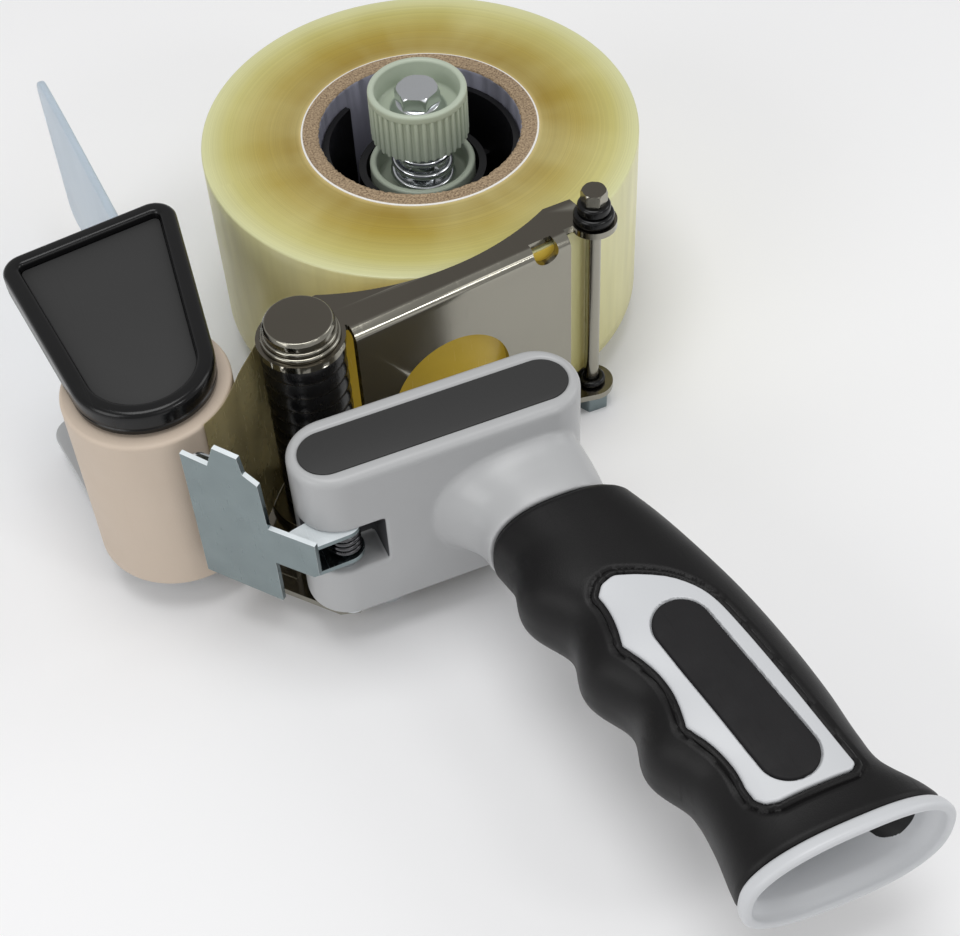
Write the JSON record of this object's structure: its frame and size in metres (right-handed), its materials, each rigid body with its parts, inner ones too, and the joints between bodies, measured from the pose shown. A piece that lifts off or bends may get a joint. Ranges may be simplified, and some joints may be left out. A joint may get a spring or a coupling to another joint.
{
  "type": "handheld tape dispenser",
  "caption": "Handheld packing tape dispenser with a roll of clear tape on a braked hub, guide rollers, a guarded blade, a clear wiping flap and a rubber pistol grip.",
  "frame": {"origin": "on the roll axis, at the flat end of the spindle head that the dispenser rests on", "axes": "+Z along the roll axis, towards the adjusting knob; -Y along the grip; +X towards the guide pin"},
  "size_m": [0.164, 0.2763, 0.0723],
  "materials": {
    "plated_steel": "satin nickel",
    "zinc_steel": "zinc passivated",
    "bright_steel": "bright",
    "sage_plastic": "matte",
    "black_plastic": "satin",
    "black_rubber": "matte",
    "beige_rubber": "matte",
    "grey_plastic": "satin",
    "charcoal_plate": "matte",
    "tape": "clear, straw coloured in the roll",
    "film": "clear film",
    "cardboard": "grey-brown card",
    "clear_plastic": "translucent",
    "bronze": "sintered"
  },
  "bodies": {
    "frame": {"base_plate": "plated_steel", "web_bracket": "plated_steel", "bracket_rivets": "bright_steel", "spindle": "bright_steel", "spindle_collar": "bright_steel", "brake_cup": "sage_plastic", "brake_spring": "bright_steel", "tape_leader": "film", "tension_axle": "plated_steel", "cap_washers": "plated_steel", "tension_seat": "plated_steel", "applicator_axle": "bright_steel", "guide_pin": "plated_steel", "pin_washers": "black_plastic", "pin_seal": "black_rubber", "lower_washers": "black_plastic", "lower_nuts": "zinc_steel", "guard_pivot": "zinc_steel", "guard_spring": "bright_steel", "cutter_blade": "bright_steel", "blade_screws": "zinc_steel", "housing": "grey_plastic", "housing_label": "charcoal_plate", "housing_screws": "zinc_steel", "grip_core": "grey_plastic", "grip_sleeve": "black_rubber", "grip_inlay": "grey_plastic", "grip_badge": "charcoal_plate"},
    "roll": {"core_hub": "black_plastic", "tape_core": "cardboard", "tape_roll": "tape"},
    "knob": {"brake_knob": "sage_plastic", "brake_bolt": "bright_steel", "brake_washer": "bright_steel"},
    "tension": {"tension_roller": "black_rubber", "tension_bush": "bronze"},
    "applicator": {"applicator_rubber": "beige_rubber", "applicator_core": "grey_plastic"},
    "fork": {"lower_cheek": "grey_plastic", "upper_cheek": "black_plastic", "cheek_panel": "charcoal_plate", "flap_holder": "black_plastic", "wiper_flap": "clear_plastic", "fork_screws": "zinc_steel"},
    "guard": {"blade_guard": "zinc_steel"}
  },
  "joints": [
    {"name": "tape_spin", "type": "hinge", "parent": "frame", "child": "roll", "pos_m": [0, 0, 0], "axis": [0, 0, 1], "continuous": true},
    {"name": "knob_turn", "type": "hinge", "parent": "frame", "child": "knob", "pos_m": [0, 0, 0], "axis": [0, 0, -1], "range_deg": [0, 1080]},
    {"name": "tension_spin", "type": "hinge", "parent": "frame", "child": "tension", "pos_m": [-0.05231, -0.05954, 0], "axis": [0, 0, 1], "continuous": true},
    {"name": "applicator_spin", "type": "hinge", "parent": "frame", "child": "applicator", "pos_m": [-0.0878, -0.05574, 0], "axis": [0, 0, 1], "continuous": true},
    {"name": "fork_swing", "type": "hinge", "parent": "frame", "child": "fork", "pos_m": [-0.0878, -0.05574, 0], "axis": [0, 0, 1], "range_deg": [-8, 8]},
    {"name": "guard_swing", "type": "hinge", "parent": "frame", "child": "guard", "pos_m": [-0.05851, -0.09724, 0], "axis": [0, 0, 1], "range_deg": [0, 25], "stiffness_Nm_per_rad": 0.06, "springref_deg": -5.73}
  ]
}
